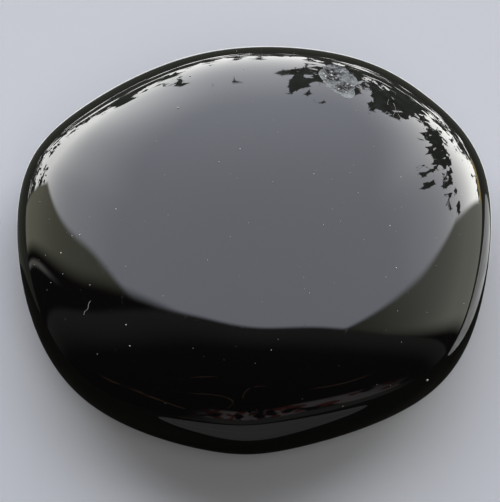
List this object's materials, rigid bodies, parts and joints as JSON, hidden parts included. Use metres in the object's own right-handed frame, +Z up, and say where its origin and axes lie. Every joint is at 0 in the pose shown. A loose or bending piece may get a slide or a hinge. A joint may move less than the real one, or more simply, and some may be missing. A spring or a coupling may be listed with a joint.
{
  "type": "obsidian palm stone",
  "caption": "Roundish, slightly lopsided pebble of black volcanic glass, domed above and below, with a mirror polish, a rounded edge and one small frosted chip near its rim.",
  "frame": {"origin": "middle of the stone seen from above, at the height of the flat spot it rests on", "axes": "+X along the stone's long way, +Y towards the side with the chip, +Z up through the dome"},
  "size_m": [0.06, 0.0592, 0.0188],
  "materials": {
    "obsidian": "polished"
  },
  "bodies": {
    "root": {"obsidian_stone": "obsidian"}
  },
  "joints": []
}
